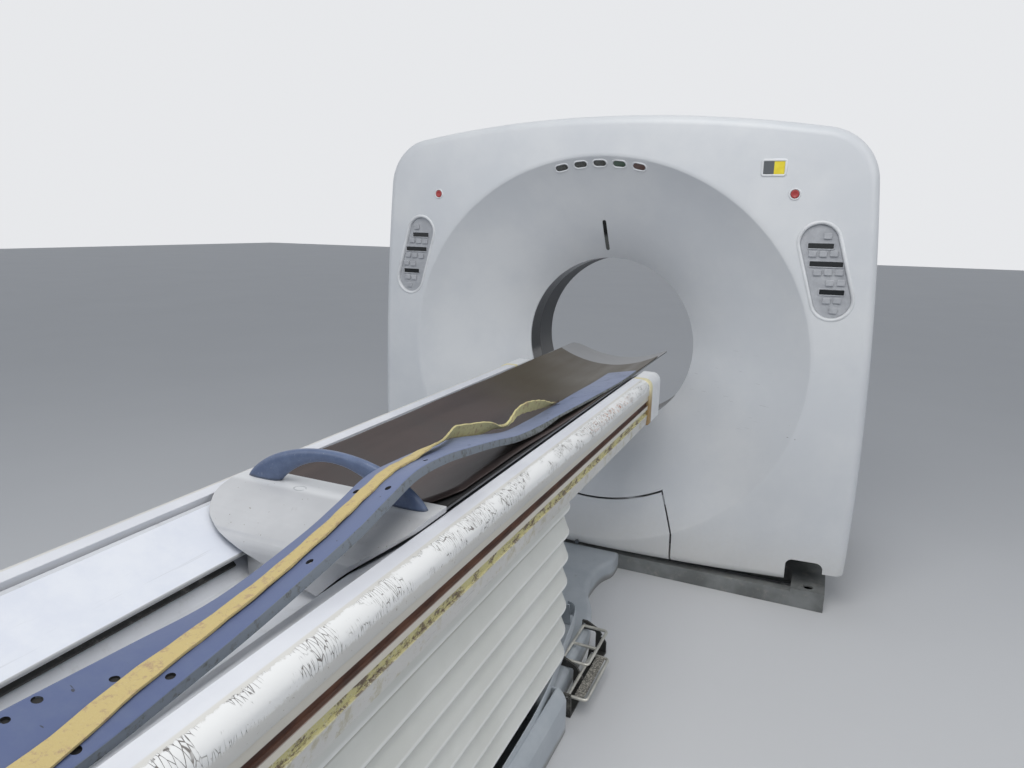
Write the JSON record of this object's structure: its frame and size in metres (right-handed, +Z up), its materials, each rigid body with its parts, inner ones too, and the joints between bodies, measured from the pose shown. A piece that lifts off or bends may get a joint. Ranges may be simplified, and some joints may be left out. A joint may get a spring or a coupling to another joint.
{
  "type": "ct scanner",
  "caption": "Tilting ring gantry with a round dished bore on low steel feet, and a patient couch with a sliding tabletop on a bellows-clad lift.",
  "frame": {"origin": "on the floor under the isocentre, on the underside of the gantry base's cross plate", "axes": "+X right as seen from the couch facing the gantry, +Y from the couch into the gantry along the bore, +Z up"},
  "size_m": [2.02, 3.42, 1.802],
  "materials": {
    "cover_white": "semi-gloss light grey-white paint on moulded covers",
    "panel_grey": "satin light grey",
    "window_black": "black polycarbonate ring",
    "liner_grey": "dark grey moulding",
    "key_white": "pale rubber keys",
    "display_dark": "dark display glass",
    "lamp_lens": "smoked lamp lens",
    "status_yellow": "yellow window",
    "stop_red": "red push button",
    "frame_steel": "grey painted steel",
    "base_steel": "dusty grey painted steel",
    "bare_steel": "machined steel",
    "motor_grey": "dark grey painted casting",
    "belt_rubber": "black rubber belt",
    "tube_alloy": "cast alloy housing",
    "box_enamel": "enamelled sheet steel",
    "ring_brass": "polished tracks",
    "rail_paint": "cracked and peeling white paint, bare glue and rust-brown channel",
    "deck_white": "white laminate",
    "table_shell": "pale composite shell",
    "wedge_grey": "light grey moulding",
    "handle_blue": "steel blue, satin",
    "mat_brown": "dark brown vinyl",
    "trim_blue": "blue-grey moulding with a grey edge",
    "tape_yellow": "aged yellow adhesive foam",
    "bellows_white": "cream white vinyl folds",
    "floor_cover_blue": "pale blue-grey moulding",
    "pedal_wire": "dirty plated rod",
    "bracket_black": "black steel",
    "roller_black": "black roller"
  },
  "bodies": {
    "base": {"gantry_base": "base_steel", "left_stand": "frame_steel", "right_stand": "frame_steel", "tilt_motor": "motor_grey", "couch_base_frame": "frame_steel", "couch_floor_cover": "floor_cover_blue", "lift_jack_housing": "motor_grey", "pedal_bracket": "bracket_black", "bellows": "bellows_white"},
    "tilt_drive": {"tilt_pinion": "bare_steel"},
    "gantry": {"tilt_frame": "frame_steel", "tilt_gear_sector": "bare_steel", "front_cover": "cover_white", "service_panel": "cover_white", "rear_cover": "cover_white", "top_cover": "cover_white", "side_covers": "cover_white", "bore_liner": "liner_grey", "scan_window": "window_black", "panel_housings": "panel_grey", "keypads": "key_white", "panel_displays": "display_dark", "indicator_lamps": "lamp_lens", "laser_window": "window_black", "status_window": "status_yellow", "bearing_outer_race": "bare_steel", "drive_motor": "motor_grey", "drive_belt": "belt_rubber", "brush_block": "motor_grey"},
    "left_stop": {"left_stop_button": "stop_red"},
    "right_stop": {"right_stop_button": "stop_red"},
    "rotor": {"rotor_drum": "tube_alloy", "bearing_balls": "bare_steel", "xray_tube": "tube_alloy", "collimator": "frame_steel", "detector_arc": "motor_grey", "high_voltage_generator": "box_enamel", "inverter_box": "box_enamel", "slip_ring": "ring_brass"},
    "rotor_drive": {"motor_pulley": "tube_alloy"},
    "couch_deck": {"couch_frame": "frame_steel", "left_side_rail": "rail_paint", "right_side_rail": "rail_paint", "rail_end_caps": "deck_white", "deck_tray": "deck_white", "left_deck_board": "deck_white", "lift_ram": "bare_steel"},
    "outer_arm": {"lift_arm_outer": "frame_steel"},
    "inner_arm": {"lift_arm_inner": "frame_steel"},
    "table": {"tabletop": "table_shell", "tabletop_carriage": "tube_alloy", "tabletop_foot_cover": "wedge_grey", "tabletop_handle": "handle_blue", "mat": "mat_brown", "trim_strip": "trim_blue", "foam_tape": "tape_yellow"},
    "roller": {"support_roller": "roller_black"},
    "front_pedal_frame": {"front_pedal": "pedal_wire"},
    "rear_pedal_frame": {"rear_pedal": "pedal_wire"}
  },
  "joints": [
    {"name": "gantry_tilt", "type": "hinge", "parent": "base", "child": "gantry", "pos_m": [0, 0, 0.914], "axis": [1, 0, 0], "range_deg": [-30, 20]},
    {"name": "tilt_pinion_spin", "type": "hinge", "parent": "base", "child": "tilt_drive", "pos_m": [0.8, 0.06, 0.55904], "axis": [1, 0, 0], "range_deg": [-110, 160]},
    {"name": "rotor_spin", "type": "hinge", "parent": "gantry", "child": "rotor", "pos_m": [0, 0, 0.914], "axis": [0, 1, 0], "continuous": true},
    {"name": "motor_pulley_spin", "type": "hinge", "parent": "gantry", "child": "rotor_drive", "pos_m": [-0.64, 0.08, 0.314], "axis": [0, 1, 0], "continuous": true},
    {"name": "left_stop_press", "type": "slide", "parent": "gantry", "child": "left_stop", "axis": [0.0558, 0.9984, 0], "range_m": [0, 0.005], "stiffness_N_per_m": 900, "springref_m": -0.003},
    {"name": "right_stop_press", "type": "slide", "parent": "gantry", "child": "right_stop", "axis": [-0.0558, 0.9984, 0], "range_m": [0, 0.005], "stiffness_N_per_m": 900, "springref_m": -0.003},
    {"name": "couch_lift", "type": "slide", "parent": "base", "child": "couch_deck", "axis": [0, 0, 1], "range_m": [-0.1, 0.08], "deforming": ["bellows"]},
    {"name": "outer_arm_swing", "type": "hinge", "parent": "base", "child": "outer_arm", "pos_m": [0, -2.35, 0.16], "axis": [1, 0, 0], "range_deg": [-7, 6]},
    {"name": "inner_arm_swing", "type": "hinge", "parent": "couch_deck", "child": "inner_arm", "pos_m": [0, -2.35, 0.66], "axis": [1, 0, 0], "range_deg": [-6, 7]},
    {"name": "tabletop_slide", "type": "slide", "parent": "couch_deck", "child": "table", "axis": [0, 1, 0], "range_m": [-0.72, 1]},
    {"name": "roller_spin", "type": "hinge", "parent": "couch_deck", "child": "roller", "pos_m": [0, -0.42, 0.7767], "axis": [1, 0, 0], "range_deg": [-3600, 2600]},
    {"name": "front_pedal_press", "type": "hinge", "parent": "base", "child": "front_pedal_frame", "pos_m": [0.212, -1.012, 0.09], "axis": [0, 1, 0], "range_deg": [0, 8], "stiffness_Nm_per_rad": 15, "springref_deg": -6.88},
    {"name": "rear_pedal_press", "type": "hinge", "parent": "base", "child": "rear_pedal_frame", "pos_m": [0.275, -1.1235, 0.06], "axis": [0, 1, 0], "range_deg": [0, 8], "stiffness_Nm_per_rad": 15, "springref_deg": -6.88}
  ],
  "couplings": [
    {"joint": "tilt_pinion_spin", "follows": "gantry_tilt", "ratio": -5},
    {"joint": "motor_pulley_spin", "follows": "rotor_spin", "ratio": 14.8},
    {"joint": "outer_arm_swing", "follows": "couch_lift", "rad_per_m": 1.1547},
    {"joint": "inner_arm_swing", "follows": "couch_lift", "rad_per_m": -1.1547},
    {"joint": "roller_spin", "follows": "tabletop_slide", "rad_per_m": -62.5}
  ]
}
